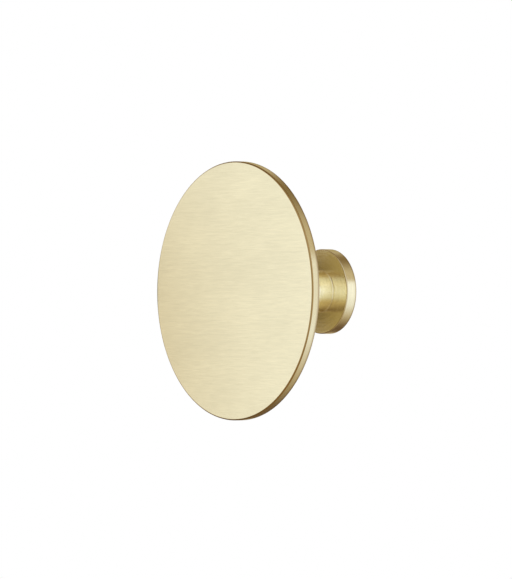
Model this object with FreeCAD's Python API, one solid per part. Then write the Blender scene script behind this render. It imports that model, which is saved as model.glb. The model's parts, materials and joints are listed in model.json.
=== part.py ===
import FreeCAD, Part
import math
import os

# A cabinet knob turned from one length of brass: a thin flat disc on a short straight neck, which
# ends in a round foot with a tapped blind hole in its back. Sizes are in millimetres.
# The origin is the centre of the foot's back face, which meets the door or drawer front.
# The knob's axis lies along Y with the disc facing -Y, and +Z is up.

# The whole knob, from the door to the face
PROJECTION = 24.0

# The disc that the fingers hold
DISC_DIAMETER = 50.0
DISC_THICKNESS = 1.8
FACE_EDGE_RADIUS = 0.3
DISC_BACK_EDGE_RADIUS = 0.25

# The neck between the disc and the foot, with the fillet at each of its ends
NECK_DIAMETER = 8.0
DISC_FILLET_RADIUS = 0.5
FOOT_FILLET_RADIUS = 0.2

# The foot that stands on the door
FOOT_DIAMETER = 16.6
FOOT_THICKNESS = 2.4
FOOT_FRONT_EDGE_RADIUS = 0.25
FOOT_BACK_EDGE_RADIUS = 0.2

# The tapped hole for an M4 screw, as drilled: the tap cuts its thread outwards from this wall
TAP_DRILL_DIAMETER = 3.3
HOLE_DEPTH = 15.0
DRILL_POINT_ANGLE = 118.0
MOUTH_DIAMETER = 4.2
MOUTH_ANGLE = 90.0

# Radii, and the places along the axis of the faces that cross it
DISC_RADIUS = DISC_DIAMETER / 2
NECK_RADIUS = NECK_DIAMETER / 2
FOOT_RADIUS = FOOT_DIAMETER / 2
HOLE_RADIUS = TAP_DRILL_DIAMETER / 2
MOUTH_RADIUS = MOUTH_DIAMETER / 2
FACE_Y = -PROJECTION
DISC_BACK_Y = FACE_Y + DISC_THICKNESS
FOOT_FRONT_Y = -FOOT_THICKNESS


def at(radius, y):
    """A point of the turned outline, which is drawn in the plane Z = 0."""
    return FreeCAD.Vector(radius, y, 0)


def straight(start, end):
    return Part.LineSegment(start, end).toShape()


def corner_arc(start, end, centre):
    """The short arc about a centre from one point to another, for a rounded edge or a fillet."""
    middle = (start + end) * 0.5 - centre
    middle.normalize()
    radius = (start - centre).Length
    return Part.Arc(start, centre + middle * radius, end).toShape()


def disc_edges():
    """The face from the axis outwards, the rim with its two rounded edges, and the back."""
    face_end = at(DISC_RADIUS - FACE_EDGE_RADIUS, FACE_Y)
    rim_start = at(DISC_RADIUS, FACE_Y + FACE_EDGE_RADIUS)
    rim_end = at(DISC_RADIUS, DISC_BACK_Y - DISC_BACK_EDGE_RADIUS)
    back_start = at(DISC_RADIUS - DISC_BACK_EDGE_RADIUS, DISC_BACK_Y)
    back_end = at(NECK_RADIUS + DISC_FILLET_RADIUS, DISC_BACK_Y)
    return [
        straight(at(0, FACE_Y), face_end),
        corner_arc(face_end, rim_start, at(face_end.x, rim_start.y)),
        straight(rim_start, rim_end),
        corner_arc(rim_end, back_start, at(back_start.x, rim_end.y)),
        straight(back_start, back_end),
    ]


def neck_edges():
    """The fillet behind the disc, the straight neck, and the fillet in front of the foot."""
    back_end = at(NECK_RADIUS + DISC_FILLET_RADIUS, DISC_BACK_Y)
    neck_start = at(NECK_RADIUS, DISC_BACK_Y + DISC_FILLET_RADIUS)
    neck_end = at(NECK_RADIUS, FOOT_FRONT_Y - FOOT_FILLET_RADIUS)
    front_start = at(NECK_RADIUS + FOOT_FILLET_RADIUS, FOOT_FRONT_Y)
    return [
        corner_arc(back_end, neck_start, at(back_end.x, neck_start.y)),
        straight(neck_start, neck_end),
        corner_arc(neck_end, front_start, at(front_start.x, neck_end.y)),
    ]


def foot_edges():
    """The foot's flat front, its rim with two rounded edges, and its back up to the hole's mouth."""
    front_start = at(NECK_RADIUS + FOOT_FILLET_RADIUS, FOOT_FRONT_Y)
    front_end = at(FOOT_RADIUS - FOOT_FRONT_EDGE_RADIUS, FOOT_FRONT_Y)
    rim_start = at(FOOT_RADIUS, FOOT_FRONT_Y + FOOT_FRONT_EDGE_RADIUS)
    rim_end = at(FOOT_RADIUS, -FOOT_BACK_EDGE_RADIUS)
    back_start = at(FOOT_RADIUS - FOOT_BACK_EDGE_RADIUS, 0)
    return [
        straight(front_start, front_end),
        corner_arc(front_end, rim_start, at(front_end.x, rim_start.y)),
        straight(rim_start, rim_end),
        corner_arc(rim_end, back_start, at(back_start.x, rim_end.y)),
        straight(back_start, at(MOUTH_RADIUS, 0)),
    ]


def hole_edges():
    """The countersunk mouth, the drilled wall, and the cone that the drill's point leaves."""
    mouth_depth = (MOUTH_RADIUS - HOLE_RADIUS) / math.tan(math.radians(MOUTH_ANGLE / 2))
    point_length = HOLE_RADIUS / math.tan(math.radians(DRILL_POINT_ANGLE / 2))
    wall_start = at(HOLE_RADIUS, -mouth_depth)
    wall_end = at(HOLE_RADIUS, -HOLE_DEPTH)
    tip = at(0, -HOLE_DEPTH - point_length)
    return [
        straight(at(MOUTH_RADIUS, 0), wall_start),
        straight(wall_start, wall_end),
        straight(wall_end, tip),
        straight(tip, at(0, FACE_Y)),
    ]


def knob():
    """One solid: the outline of half a section, turned once round the Y axis."""
    outline = Part.Wire(disc_edges() + neck_edges() + foot_edges() + hole_edges())
    return Part.Face(outline).revolve(at(0, 0), FreeCAD.Vector(0, 1, 0), 360)


os.makedirs("parts", exist_ok=True)
knob().exportStep("parts/knob.step")
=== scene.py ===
import json
import math

import bpy
from mathutils import Matrix, Vector


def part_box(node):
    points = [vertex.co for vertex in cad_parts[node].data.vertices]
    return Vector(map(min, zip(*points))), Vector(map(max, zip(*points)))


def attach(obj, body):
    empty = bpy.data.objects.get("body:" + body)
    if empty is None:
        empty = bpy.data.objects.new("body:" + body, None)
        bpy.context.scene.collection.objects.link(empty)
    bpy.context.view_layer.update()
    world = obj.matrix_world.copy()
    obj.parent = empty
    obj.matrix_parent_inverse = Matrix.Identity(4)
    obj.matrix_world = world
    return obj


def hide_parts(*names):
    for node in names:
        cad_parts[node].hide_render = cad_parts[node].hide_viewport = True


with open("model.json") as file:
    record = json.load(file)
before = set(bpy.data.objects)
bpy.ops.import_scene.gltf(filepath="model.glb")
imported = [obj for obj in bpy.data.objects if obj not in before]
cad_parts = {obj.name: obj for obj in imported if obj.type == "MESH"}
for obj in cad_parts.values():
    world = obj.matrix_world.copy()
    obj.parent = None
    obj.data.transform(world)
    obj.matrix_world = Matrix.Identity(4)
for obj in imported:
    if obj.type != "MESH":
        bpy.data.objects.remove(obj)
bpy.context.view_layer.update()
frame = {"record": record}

MM = 0.001

# The knob's sizes in millimetres, as its solid has them. The axis lies along Y with the disc facing -Y.
LOW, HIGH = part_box("knob")
DISC_RADIUS = (HIGH.x - LOW.x) / 2 / MM
PROJECTION = (HIGH.y - LOW.y) / MM
HOLE = next(m for m in frame["record"]["mounts"] if m["name"] == "screw_hole")
HOLE_RADIUS = HOLE["dims"]["r_mm"]
MOUTH_DEPTH = 0.45
HOLE_DEPTH = MOUTH_DEPTH + HOLE["dims"]["length_mm"]
DRILL_POINT_ANGLE = 118.0
SIZES = {
    "Disc radius": DISC_RADIUS,
    "Disc thickness": 1.8,
    "Projection": PROJECTION,
    "Face edge radius": 0.3,
    "Disc back edge radius": 0.25,
    "Neck radius": 4.0,
    "Disc fillet radius": 0.5,
    "Foot fillet radius": 0.2,
    "Foot radius": 8.3,
    "Foot thickness": 2.4,
    "Foot front edge radius": 0.25,
    "Foot back edge radius": 0.2,
    "Hole radius": HOLE_RADIUS,
    "Hole depth": HOLE_DEPTH,
    "Hole mouth depth": MOUTH_DEPTH,
    "Drill point length": HOLE_RADIUS / math.tan(math.radians(DRILL_POINT_ANGLE / 2)),
    "Thread outer radius": 2.0,
    "Thread pitch": 0.7,
    "Thread length": 12.0,
}
# The thread fades out so far to each side of its end, and its finely cut wall ends just past that
THREAD_RUNOUT = 0.55
FINE_WALL_PAST_THREAD = 0.6

# How the knob is turned: the segments round it, the cuts along its flats and its threaded wall, the
# flat kept beside each rounded edge, and the angle at which two faces meet in a sharp edge
TURN_SEGMENTS = 256
FLAT_CUTS = 5
THREAD_CUTS = 179
EDGE_MARGIN = 0.04
SHARP_ANGLE = 25.0

# Brushed brass, the brown of the painted shade along its rounded edges and round the neck, and how far
# its streaks stand out
BRASS = (0.895, 0.84, 0.60)
PAINTED_SHADE_BRASS = (0.34, 0.22, 0.08)
ROUGHNESS = 0.2
BRUSHING_DEPTH = 0.016 * MM
FACE_STREAKS = 0.15
RING_STREAKS = 0.24

# The camera, as fitted to the photo's outlines: a long lens to the right of the knob and level with it
CAMERA_AT = (0.665953, -0.524778, -0.008268)
CAMERA_FORWARD = (-0.79594, 0.60529, 0.01023)
FOCAL_PIXELS = 4319.0
FRAME_HEIGHT_PIXELS = 579
SENSOR_MM = 36.0

# The studio's white surround and floor
SURROUND_LIGHT = 0.75
FLOOR_RADIUS = 1.5
FLOOR_Z = -0.12
FLOOR_STEPS = 64

# Colours of the cards that the brass reflects, from the darkest to white, and the ways they face
SOOT = (0.06, 0.032, 0.005)
DARK = (0.22, 0.145, 0.06)
BROWN = (0.14, 0.085, 0.045)
UMBER = (0.25, 0.165, 0.075)
OCHRE = (0.40, 0.29, 0.14)
AMBER = (0.45, 0.28, 0.04)
TAN = (0.45, 0.36, 0.19)
SAND = (0.53, 0.42, 0.25)
BUFF = (0.58, 0.48, 0.32)
STRAW = (0.66, 0.53, 0.32)
CREAM = (0.80, 0.76, 0.68)
COOL = (0.68, 0.74, 1.0)
WHITE = (1.0, 1.0, 1.0)
UP = (0, 0, 1)
DOWN = (0, 0, -1)
TO_CAMERA_SIDE = (0.8, -0.6, 0)
BACK_TO_KNOB = (-0.8, -0.6, 0)


class Signal:
    """A socket's value in a node tree. Sums and products of signals and numbers add Math nodes."""

    def __init__(self, graph, socket):
        self.graph = graph
        self.socket = socket

    def __add__(self, other):
        return self.graph.maths("ADD", self, other)

    def __radd__(self, other):
        return self.graph.maths("ADD", other, self)

    def __sub__(self, other):
        return self.graph.maths("SUBTRACT", self, other)

    def __rsub__(self, other):
        return self.graph.maths("SUBTRACT", other, self)

    def __mul__(self, other):
        return self.graph.maths("MULTIPLY", self, other)

    def __rmul__(self, other):
        return self.graph.maths("MULTIPLY", other, self)

    def __truediv__(self, other):
        return self.graph.maths("DIVIDE", self, other)

    def __neg__(self):
        return self.graph.maths("MULTIPLY", self, -1.0)

    def at_least(self, other):
        return self.graph.maths("MAXIMUM", self, other)

    def at_most(self, other):
        return self.graph.maths("MINIMUM", self, other)


class Graph:
    """Adds nodes to one tree, in the order in which they are asked for."""

    def __init__(self, tree):
        self.tree = tree

    def node(self, kind, settings=None, inputs=None):
        """A node of this kind, its settings made first, then the values or links of its sockets."""
        made = self.tree.nodes.new(kind)
        for name, value in (settings or {}).items():
            setattr(made, name, value)
        for key, value in (inputs or {}).items():
            self.feed(made.inputs[key], value)
        return made

    def feed(self, socket, value):
        if isinstance(value, Signal):
            self.tree.links.new(value.socket, socket)
        else:
            socket.default_value = value

    def out(self, kind, settings=None, inputs=None, output=0):
        """The signal that leaves a new node by one of its outputs."""
        return Signal(self, self.node(kind, settings, inputs).outputs[output])

    def maths(self, operation, *values):
        return self.out("ShaderNodeMath", {"operation": operation}, dict(enumerate(values)))

    def vector(self, x, y, z):
        return self.out("ShaderNodeCombineXYZ", None, {"X": x, "Y": y, "Z": z})

    def parts(self, vector):
        split = self.node("ShaderNodeSeparateXYZ", None, {"Vector": vector})
        return [Signal(self, socket) for socket in split.outputs]

    def noise(self, vector, detail, w=None):
        """Noise between 0 and 1 with features about one unit long, in 4 dimensions where w is given."""
        settings = {"noise_dimensions": "3D" if w is None else "4D"}
        inputs = {"Vector": vector, "Scale": 1.0, "Detail": detail, "Roughness": 0.6}
        if w is not None:
            inputs["W"] = w
        return self.out("ShaderNodeTexNoise", settings, inputs)

    def ramp(self, value, low, high, start=0.0, end=1.0):
        """start below low, end above high, and a smooth step between them."""
        settings = {"interpolation_type": "SMOOTHSTEP", "clamp": True}
        inputs = {"Value": value, "From Min": low, "From Max": high, "To Min": start, "To Max": end}
        return self.out("ShaderNodeMapRange", settings, inputs, output="Result")


# The knob, turned by Geometry Nodes


class Lathe(Graph):
    """Draws half a section from named sizes, and turns it round the Y axis into a closed mesh."""

    def __init__(self, name):
        super().__init__(bpy.data.node_groups.new(name, "GeometryNodeTree"))
        self.sizes = {}
        self.points = []
        interface = self.tree.interface
        interface.new_socket("Geometry", in_out="OUTPUT", socket_type="NodeSocketGeometry")
        for size in SIZES:
            interface.new_socket(size, in_out="INPUT", socket_type="NodeSocketFloat")
        interface.new_socket("Segments", in_out="INPUT", socket_type="NodeSocketInt")
        interface.new_socket("Metal", in_out="INPUT", socket_type="NodeSocketMaterial")
        entry = self.node("NodeGroupInput")
        for size in [*SIZES, "Segments", "Metal"]:
            self.sizes[size] = Signal(self, entry.outputs[size])

    def point(self, radius, y, fillet=0.0, cuts=0):
        """One point of the outline, with the radius of its fillet and the cuts up to the next point."""
        self.points.append((radius, y, fillet, cuts))

    def edge(self, radius, y, fillet, before, after):
        """A rounded corner, with a point just clear of its arc on the flat to each side of it."""
        reach = fillet + EDGE_MARGIN
        self.point(radius + reach * before[0], y + reach * before[1])
        self.point(radius, y, fillet)
        self.point(radius + reach * after[0], y + reach * after[1])

    def outline(self):
        """The half section from the middle of the face, round the knob, to the end of the hole."""
        size = self.sizes
        face_y = -size["Projection"]
        back_y = face_y + size["Disc thickness"]
        disc, neck, foot = size["Disc radius"], size["Neck radius"], size["Foot radius"]
        front_y = -size["Foot thickness"]
        hole = size["Hole radius"]
        mouth = hole + size["Hole mouth depth"]
        hole_end = -size["Hole depth"]
        self.point(0.0, face_y, cuts=FLAT_CUTS)
        self.edge(disc, face_y, size["Face edge radius"], (-1, 0), (0, 1))
        self.edge(disc, back_y, size["Disc back edge radius"], (0, -1), (-1, 0))
        self.edge(neck, back_y, size["Disc fillet radius"], (1, 0), (0, 1))
        self.edge(neck, front_y, size["Foot fillet radius"], (0, -1), (1, 0))
        self.edge(foot, front_y, size["Foot front edge radius"], (-1, 0), (0, 1))
        self.edge(foot, 0.0, size["Foot back edge radius"], (0, -1), (-1, 0))
        self.point(mouth, 0.0, cuts=FLAT_CUTS)
        self.point(hole, -size["Hole mouth depth"], cuts=THREAD_CUTS)
        self.point(hole, -size["Thread length"] - FINE_WALL_PAST_THREAD, cuts=3)
        self.point(hole, hole_end, cuts=2)
        self.point(0.0, hole_end - size["Drill point length"])

    def pick(self, kind, values):
        """The value for each point of the outline, by its index."""
        made = self.tree.nodes.new("GeometryNodeIndexSwitch")
        made.data_type = kind
        while len(made.index_switch_items) < len(values):
            made.index_switch_items.new()
        self.feed(made.inputs["Index"], self.out("GeometryNodeInputIndex"))
        for i, value in enumerate(values):
            self.feed(made.inputs[i + 1], value)
        return Signal(self, made.outputs[0])

    def section(self):
        """The outline as a curve, its edges rounded and its long runs cut into short ones."""
        line = self.out("GeometryNodeMeshLine", None, {"Count": len(self.points)})
        curve = self.out("GeometryNodeMeshToCurve", None, {"Mesh": line})
        places = self.pick("VECTOR", [self.vector(p[0], p[1], 0.0) for p in self.points])
        curve = self.out("GeometryNodeSetPosition", None, {"Geometry": curve, "Position": places})
        fillets = self.pick("FLOAT", [p[2] for p in self.points])
        inputs = {"Geometry": curve, "Name": "fillet", "Value": fillets}
        curve = self.out("GeometryNodeStoreNamedAttribute", {"data_type": "FLOAT"}, inputs)
        cuts = self.pick("INT", [p[3] for p in self.points])
        curve = self.out("GeometryNodeSubdivideCurve", None, {"Curve": curve, "Cuts": cuts})
        radius = self.out("GeometryNodeInputNamedAttribute", {"data_type": "FLOAT"}, {"Name": "fillet"})
        inputs = {"Curve": curve, "Count": 10, "Radius": radius, "Limit Radius": True}
        return self.out("GeometryNodeFilletCurve", {"mode": "POLY"}, inputs)

    def thread(self, radius, y, turn):
        """How far the thread's groove lies outside the drilled wall at a place and a part of a turn.

        The groove's root is flat over an eighth of the pitch, and its flanks meet at 60 degrees.
        """
        size = self.sizes
        pitch = size["Thread pitch"]
        phase = self.maths("FRACT", y / pitch - turn)
        from_root = self.maths("ABSOLUTE", phase - 0.5) * pitch
        flank = (from_root - pitch / 16.0).at_least(0.0) * math.sqrt(3)
        tapped = size["Thread length"]
        fade = self.ramp(y, -tapped - THREAD_RUNOUT, -tapped + THREAD_RUNOUT)
        depth = (size["Thread outer radius"] - size["Hole radius"]) * fade
        groove = size["Hole radius"] + (depth - flank).at_least(0.0)
        in_hole = self.maths("GREATER_THAN", radius, size["Hole radius"] - 0.01)
        above_point = self.maths("GREATER_THAN", y, -size["Hole depth"] + 0.5)
        return (groove - radius).at_least(0.0) * in_hole * above_point

    def turned(self, curve):
        """A grid bent round the axis: one row for each point of the section, and the thread cut in."""
        count = self.out("GeometryNodeAttributeDomainSize", {"component": "CURVE"}, {"Geometry": curve})
        inputs = {"Size X": 1.0, "Size Y": 1.0, "Vertices Y": count,
                  "Vertices X": self.sizes["Segments"] + 1.0}
        grid = self.out("GeometryNodeMeshGrid", None, inputs)
        x, y, _ = self.parts(self.out("GeometryNodeInputPosition"))
        turn = x + 0.5
        row = self.maths("ROUND", (y + 0.5) * (count - 1.0))
        settings = {"data_type": "FLOAT_VECTOR", "domain": "POINT"}
        inputs = {"Geometry": curve, "Value": self.out("GeometryNodeInputPosition"), "Index": row}
        radius, along, _ = self.parts(self.out("GeometryNodeSampleIndex", settings, inputs))
        radius = radius + self.thread(radius, along, turn)
        angle = turn * math.tau
        place = self.vector(radius * self.maths("COSINE", angle) * MM, along * MM,
                            radius * self.maths("SINE", angle) * MM)
        grid = self.out("GeometryNodeSetPosition", None, {"Geometry": grid, "Position": place})
        grid = self.out("GeometryNodeMergeByDistance", None, {"Geometry": grid, "Distance": 1e-7})
        return grid

    def build(self):
        self.outline()
        mesh = self.turned(self.section())
        mesh = self.out("GeometryNodeSetShadeSmooth", {"domain": "FACE"}, {"Geometry": mesh})
        angle = self.out("GeometryNodeInputMeshEdgeAngle")
        sharp = self.maths("GREATER_THAN", angle, math.radians(SHARP_ANGLE))
        inputs = {"Geometry": mesh, "Selection": sharp, "Shade Smooth": False}
        mesh = self.out("GeometryNodeSetShadeSmooth", {"domain": "EDGE"}, inputs)
        mesh = self.out("GeometryNodeRealizeInstances", None, {"Geometry": mesh})
        inputs = {"Geometry": mesh, "Material": self.sizes["Metal"]}
        mesh = self.out("GeometryNodeSetMaterial", None, inputs)
        self.node("NodeGroupOutput", None, {"Geometry": mesh})
        return self.tree


def turn_knob(metal):
    """The knob as a plain mesh made by the lathe tree, with the sizes as its modifier's inputs."""
    tree = Lathe("Turned knob").build()
    start = bpy.data.objects.new("knob_blank", bpy.data.meshes.new("knob_blank"))
    bpy.context.scene.collection.objects.link(start)
    lathe = start.modifiers.new("Lathe", "NODES")
    lathe.node_group = tree
    named = {item.name: item.identifier for item in tree.interface.items_tree
             if item.in_out == "INPUT"}
    for size, value in SIZES.items():
        lathe[named[size]] = float(value)
    lathe[named["Segments"]] = TURN_SEGMENTS
    lathe[named["Metal"]] = metal
    shape = start.evaluated_get(bpy.context.evaluated_depsgraph_get())
    mesh = bpy.data.meshes.new_from_object(shape)
    start.modifiers.clear()
    bpy.data.objects.remove(start)
    mesh.name = "turned_knob"
    piece = bpy.data.objects.new("turned_knob", mesh)
    bpy.context.scene.collection.objects.link(piece)
    return piece


# The brass


def arris(g, radius, y, edge_radius, edge_y, rounding, way, spread=0.0):
    """The mask of the painted shade along a rounded edge: 1 on the edge, fading to 0 on the flat and the
    rim beside it.

    edge_radius and edge_y are the place of its corner before the rounding. way is -1 for a front
    edge and 1 for a back edge. The fade along the rim starts so many roundings away: spread.
    """
    outwards = (radius - (edge_radius - rounding)) / rounding
    along = (y - (edge_y - rounding * way)) / (rounding * way)
    near = g.maths("LESS_THAN", outwards.at_least(along), 1.2)
    return g.ramp(outwards, 0.0, 0.4) * g.ramp(along, -spread, 0.12 + spread / 2) * near


def satin_brass():
    """Brass brushed straight across the face and round everything else, with painted shade along its
    edges and round the neck.
    """
    metal = bpy.data.materials.new("satin_brass")
    metal.use_nodes = True
    metal.node_tree.nodes.clear()
    g = Graph(metal.node_tree)
    place = g.out("ShaderNodeTexCoord", output="Object")
    x, y, z = g.parts(g.out("ShaderNodeVectorMath", {"operation": "SCALE"},
                            {"Vector": place, "Scale": 1 / MM}))
    radius = g.maths("SQRT", x * x + z * z).at_least(0.05)  # above 0, as it divides x and z below
    on_face = g.ramp(y, -PROJECTION + 0.02, -PROJECTION + 0.12, 1.0, 0.0)

    # The brushing: straight lines along X on the face, and rings on what was turned
    straight = g.noise(g.vector(x * 0.22, y * 0.5, z * 6.0), detail=3.0)
    wide = g.noise(g.vector(x * 0.20, y * 0.5, z * 1.6 + 40.0), detail=2.0)
    cloud = g.noise(g.vector(x * 0.05, y * 0.5, z * 0.12 + 80.0), detail=1.0)
    rings = g.noise(g.vector(radius * 4.0, y * 3.0, x / radius * 1.5), detail=3.0, w=z / radius * 1.5)
    height = rings + (straight * 0.6 - rings) * on_face
    bump = g.out("ShaderNodeBump", None, {"Strength": 1.0, "Distance": BRUSHING_DEPTH, "Height": height})

    face_tone = (straight + wide + cloud - 1.5) * FACE_STREAKS
    ring_tone = (rings - 0.5) * RING_STREAKS
    tone = 1.0 + ring_tone + (face_tone - ring_tone) * on_face

    # The painted shade: dark brown along the rounded edges, and on the foot's front round the neck and in
    # its fillet
    painted_shade = (arris(g, radius, y, SIZES["Disc radius"], -PROJECTION, SIZES["Face edge radius"], -1)
            + arris(g, radius, y, SIZES["Disc radius"], SIZES["Disc thickness"] - PROJECTION,
                    SIZES["Disc back edge radius"], 1, 1.8)
            + 0.5 * arris(g, radius, y, SIZES["Foot radius"], -SIZES["Foot thickness"],
                          SIZES["Foot front edge radius"], -1)
            + arris(g, radius, y, SIZES["Foot radius"], 0.0, SIZES["Foot back edge radius"], 1, 1.6))
    # Painted shade on the foot's front next to the neck, fading outwards, and a little in the fillet at
    # the neck's foot
    neck_radius, foot_front = SIZES["Neck radius"], -SIZES["Foot thickness"]
    by_neck = g.ramp(radius, neck_radius, neck_radius + 4.5, 1.0, 0.0)
    in_fillet = g.maths("LESS_THAN", radius, neck_radius + SIZES["Foot fillet radius"])
    from_neck = g.ramp(y, foot_front - 0.3, foot_front - 0.1)
    on_front = from_neck * g.maths("LESS_THAN", y, foot_front + 0.1)
    painted_shade = painted_shade + (0.2 * by_neck + 0.03 * in_fillet) * on_front

    brass = g.out("ShaderNodeVectorMath", {"operation": "SCALE"}, {"Vector": BRASS, "Scale": tone})
    # Mixes the brass towards the brown of the painted shade, by its mask
    mixed = g.node("ShaderNodeMix", {"data_type": "RGBA"}, {"Factor": painted_shade})
    colours = [socket for socket in mixed.inputs if socket.type == "RGBA"]
    g.feed(colours[0], brass)
    g.feed(colours[1], (*PAINTED_SHADE_BRASS, 1.0))
    colour = next(Signal(g, socket) for socket in mixed.outputs if socket.type == "RGBA")
    shader = g.node("ShaderNodeBsdfPrincipled", None, {
        "Base Color": colour,
        "Metallic": 1.0,
        "Roughness": ROUGHNESS + (height - 0.5) * 0.06,
        "Normal": bump,
    })
    g.node("ShaderNodeOutputMaterial", None, {"Surface": Signal(g, shader.outputs[0])})
    return metal


# The studio


def look_at(obj, place, target):
    obj.location = place
    obj.rotation_euler = (Vector(target) - Vector(place)).to_track_quat("-Z", "Y").to_euler()


def soft_glow(name, colour, strength, width, height, fade):
    """A plain glow that covers a card and fades out at its sides and at its two ends."""
    made = bpy.data.materials.new(name)
    made.use_nodes = True
    made.node_tree.nodes.clear()
    g = Graph(made.node_tree)
    x, y, _ = g.parts(g.out("ShaderNodeTexCoord", output="Object"))
    from_side = width / 2 - g.maths("ABSOLUTE", x)
    from_end = height / 2 - g.maths("ABSOLUTE", y)
    cover = g.ramp(from_side, 0.0, fade[0]) * g.ramp(from_end, 0.0, fade[1])
    glow = g.out("ShaderNodeEmission", None, {"Color": (*colour, 1.0), "Strength": strength})
    clear = g.out("ShaderNodeBsdfTransparent")
    mixed = g.out("ShaderNodeMixShader", None, {0: cover, 1: clear, 2: glow})
    g.node("ShaderNodeOutputMaterial", None, {"Surface": mixed})
    return made


def card(name, place, faces, size, fade, colour, strength=1.0):
    """A soft-edged card that only reflections show, turned to face a direction."""
    mesh = bpy.data.meshes.new(name)
    w, h = size[0] / 2, size[1] / 2
    mesh.from_pydata([(-w, -h, 0), (w, -h, 0), (w, h, 0), (-w, h, 0)], [], [(0, 1, 2, 3)])
    mesh.materials.append(soft_glow(name, colour, strength, *size, fade))
    made = bpy.data.objects.new(name, mesh)
    bpy.context.scene.collection.objects.link(made)
    look_at(made, place, Vector(place) + Vector(faces))
    made.visible_camera = False
    made.visible_diffuse = False
    made.visible_shadow = False
    made.visible_transmission = False


def soft_lamp(name, place, target, size, radiance):
    """A square lamp overhead that lays the knob's soft shadow on the floor."""
    data = bpy.data.lights.new(name, "AREA")
    data.shape = "SQUARE"
    data.size = size
    data.energy = radiance * math.pi * size * size
    made = bpy.data.objects.new(name, data)
    bpy.context.scene.collection.objects.link(made)
    made.visible_glossy = False
    look_at(made, place, target)


def seen_plainly(g):
    """1 for the rays that should meet the plain white background, and 0 for those that light things."""
    path = g.node("ShaderNodeLightPath")
    rays = [Signal(g, path.outputs[name]) for name in
            ("Is Camera Ray", "Is Glossy Ray", "Is Transmission Ray")]
    return (rays[0] + rays[1] + rays[2]).at_most(1.0)


def white_world():
    world = bpy.data.worlds.new("White surround")
    bpy.context.scene.world = world
    world.use_nodes = True
    world.node_tree.nodes.clear()
    g = Graph(world.node_tree)
    strength = SURROUND_LIGHT + seen_plainly(g) * (1.0 - SURROUND_LIGHT)
    shader = g.out("ShaderNodeBackground", None, {"Color": (1, 1, 1, 1), "Strength": strength})
    g.node("ShaderNodeOutputWorld", None, {"Surface": shader})


def pale_floor():
    """A round white floor below the knob, which fades into the background at its far edge."""
    made = bpy.data.materials.new("pale_floor")
    made.use_nodes = True
    made.node_tree.nodes.clear()
    g = Graph(made.node_tree)
    x, y, _ = g.parts(g.out("ShaderNodeTexCoord", output="Object"))
    away = g.maths("SQRT", x * x + y * y)
    plain = seen_plainly(g) * g.ramp(away, 0.1, 0.8, 0.7, 1.0)
    paper = g.out("ShaderNodeBsdfDiffuse", None, {"Color": (0.9, 0.9, 0.9, 1)})
    white = g.out("ShaderNodeEmission", None, {"Color": (1, 1, 1, 1), "Strength": 1.0})
    mixed = g.out("ShaderNodeMixShader", None, {0: plain, 1: paper, 2: white})
    g.node("ShaderNodeOutputMaterial", None, {"Surface": mixed})
    mesh = bpy.data.meshes.new("floor")
    turns = [math.tau * i / FLOOR_STEPS for i in range(FLOOR_STEPS)]
    ring = [(FLOOR_RADIUS * math.cos(turn), FLOOR_RADIUS * math.sin(turn), FLOOR_Z) for turn in turns]
    mesh.from_pydata(ring, [], [tuple(range(FLOOR_STEPS))])
    mesh.materials.append(made)
    floor = bpy.data.objects.new("floor", mesh)
    bpy.context.scene.collection.objects.link(floor)


def set_camera():
    data = bpy.data.cameras.new("camera")
    data.sensor_width = SENSOR_MM
    data.lens = FOCAL_PIXELS * SENSOR_MM / FRAME_HEIGHT_PIXELS
    data.clip_start, data.clip_end = 0.01, 20
    camera = bpy.data.objects.new("camera", data)
    bpy.context.scene.collection.objects.link(camera)
    camera.location = CAMERA_AT
    camera.rotation_euler = Vector(CAMERA_FORWARD).to_track_quat("-Z", "Y").to_euler()
    bpy.context.scene.camera = camera


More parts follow.
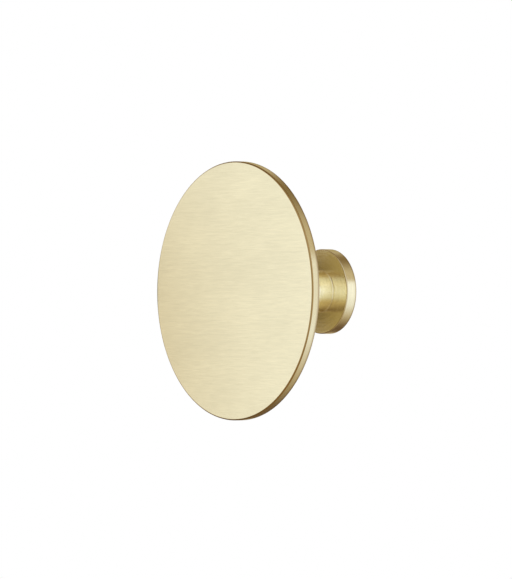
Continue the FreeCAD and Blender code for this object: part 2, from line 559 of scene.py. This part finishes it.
def light_studio():
    """Cards round the knob in a white room, for what its brass reflects towards the camera."""
    # Above: behind the knob for the tops of its rims, and in front of it for the top of its neck
    card("card_ceiling", (0.075, 0.325, 0.21), DOWN, (0.85, 0.75), (0.20, 0.12), BUFF)
    card("card_above", (-0.025, 0.335, 0.20), DOWN, (0.39, 0.83), (0.20, 0.12), DARK)
    card("card_high", (-0.1875, -0.12, 0.20), DOWN, (0.525, 0.36), (0.10, 0.10), STRAW)
    card("card_over", (-0.235, -0.12, 0.19), DOWN, (0.43, 0.36), (0.10, 0.10), OCHRE)

    # Below, in the same two places
    card("card_floor", (-0.16, 0.095, -0.085), UP, (0.58, 0.31), (0.13, 0.06), SAND)
    card("card_below", (-0.20, 0.055, -0.08), UP, (0.50, 0.19), (0.085, 0.07), BROWN)
    card("card_low", (-0.08, -0.07, -0.078), UP, (0.40, 0.18), (0.08, 0.04), STRAW)
    card("card_under", (-0.13, -0.07, -0.077), UP, (0.32, 0.18), (0.10, 0.05), UMBER)

    # To the left: in front for the face, and behind for what the disc's back throws on the foot
    card("card_side", (-0.2495, -0.084, -0.125), (0.8, 0.6, 0), (0.239, 0.45), (0.08, 0.12), AMBER)
    card("card_left", (-0.26, 0.18, 0.0), TO_CAMERA_SIDE, (0.50, 0.70), (0.10, 0.10), TAN)

    # In front, for the foot's front and the upper side of the neck
    card("card_front", (0.10, -0.50, 0.03), (0, 1, 0), (0.32, 0.60), (0.16, 0.25), CREAM, 0.85)
    card("card_fill", (0.175, -0.185, 0.165), (-0.58, 0.6, -0.55), (0.22, 0.20), (0.09, 0.08), WHITE, 1.2)

    # Beside the disc's left edge, which the foot's front looks past
    card("card_gap", (-0.034, -0.0225, 0.0), (0.3, 1, 0), (0.016, 0.06), (0.002, 0.002), OCHRE)
    card("card_shade", (-0.0339, -0.0222, 0.0), (0.3, 1, 0), (0.018, 0.022), (0.001, 0.009), SOOT)

    # To the right: the bright stretches of the rims and of the neck
    card("card_back", (0.176, 0.214, 0.0), BACK_TO_KNOB, (0.16, 0.22), (0.06, 0.06), WHITE, 1.12)
    card("card_rim", (0.098, 0.014, 0.0), BACK_TO_KNOB, (0.074, 0.12), (0.02, 0.04), CREAM, 1.06)
    card("card_glint", (0.049, 0.0155, 0.0), (-0.93, -0.36, 0), (0.024, 0.06), (0.012, 0.028), COOL, 1.6)
    card("card_flash", (0.036, -0.0225, 0.012), (-0.8, 0.6, 0), (0.008, 0.068), (0.004, 0.022), COOL, 2.6)

    soft_lamp("lamp_above", (-0.1, -0.2, 0.6), (0, 0, 0), 0.4, 1.2)


bpy.context.scene.view_settings.view_transform = "Standard"
white_world()
pale_floor()
light_studio()
set_camera()
knob = turn_knob(satin_brass())
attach(knob, "root")
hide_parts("knob")
